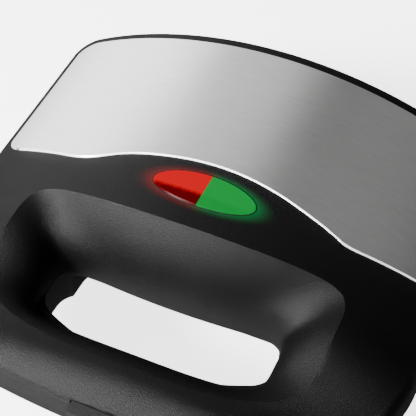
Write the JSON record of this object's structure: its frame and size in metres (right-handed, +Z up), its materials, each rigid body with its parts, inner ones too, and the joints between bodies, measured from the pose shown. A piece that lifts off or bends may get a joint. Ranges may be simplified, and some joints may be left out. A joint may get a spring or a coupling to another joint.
{
  "type": "sandwich maker",
  "caption": "Countertop sandwich maker with an arched hinged lid, brushed steel top, oval signal lamp window and a full-width loop handle with a latch.",
  "frame": {"origin": "centre of the footprint box, on the plane that the feet stand on", "axes": "+Z up, -Y towards the handle, +X to the right seen from the handle"},
  "size_m": [0.236, 0.237, 0.0948],
  "materials": {
    "black_plastic": "fine spark texture",
    "brushed_steel": "brushed along X",
    "red_lens": "clear moulding, lit",
    "green_lens": "clear moulding, lit",
    "nonstick": "non-stick coating on cast aluminium",
    "pan_aluminium": "mill finish sheet",
    "heater_sheath": "dull sheathed rod",
    "screw_steel": "plated steel",
    "foot_rubber": "matte",
    "white_plastic": "heat resistant moulding",
    "lamp_glass": "clear"
  },
  "bodies": {
    "base": {"base_housing": "black_plastic", "base_handle": "black_plastic", "base_handle_screws": "screw_steel", "bottom_cover": "black_plastic", "bottom_cover_screws": "screw_steel", "rubber_feet": "foot_rubber", "terminal_block": "white_plastic", "cord_gland": "foot_rubber", "hinge_pin_left": "screw_steel", "hinge_pin_right": "screw_steel", "lower_reflector_pan": "pan_aluminium", "lower_thermostat": "screw_steel", "lower_cooking_plate": "nonstick", "lower_plate_screws": "screw_steel", "lower_heating_element": "heater_sheath", "lower_heater_clamps": "pan_aluminium"},
    "lid": {"upper_reflector_pan": "pan_aluminium", "upper_thermostat": "screw_steel", "thermal_fuse": "screw_steel", "lid_housing": "black_plastic", "steel_top_plate": "brushed_steel", "red_lens": "red_lens", "green_lens": "green_lens", "lamp_holder": "white_plastic", "red_lamp": "lamp_glass", "green_lamp": "lamp_glass", "lamp_holder_screws": "screw_steel", "handle_latch_pin": "screw_steel", "upper_cooking_plate": "nonstick", "upper_plate_screws": "screw_steel", "upper_heating_element": "heater_sheath", "upper_heater_clamps": "pan_aluminium"},
    "latch": {"handle_latch": "black_plastic"}
  },
  "joints": [
    {"name": "lid_hinge", "type": "hinge", "parent": "base", "child": "lid", "pos_m": [0, 0.11247, 0.05], "axis": [-1, 0, 0], "range_deg": [0, 100]},
    {"name": "latch_pivot", "type": "hinge", "parent": "lid", "child": "latch", "pos_m": [0, -0.10303, 0.0565], "axis": [1, 0, 0], "range_deg": [0, 28]}
  ]
}
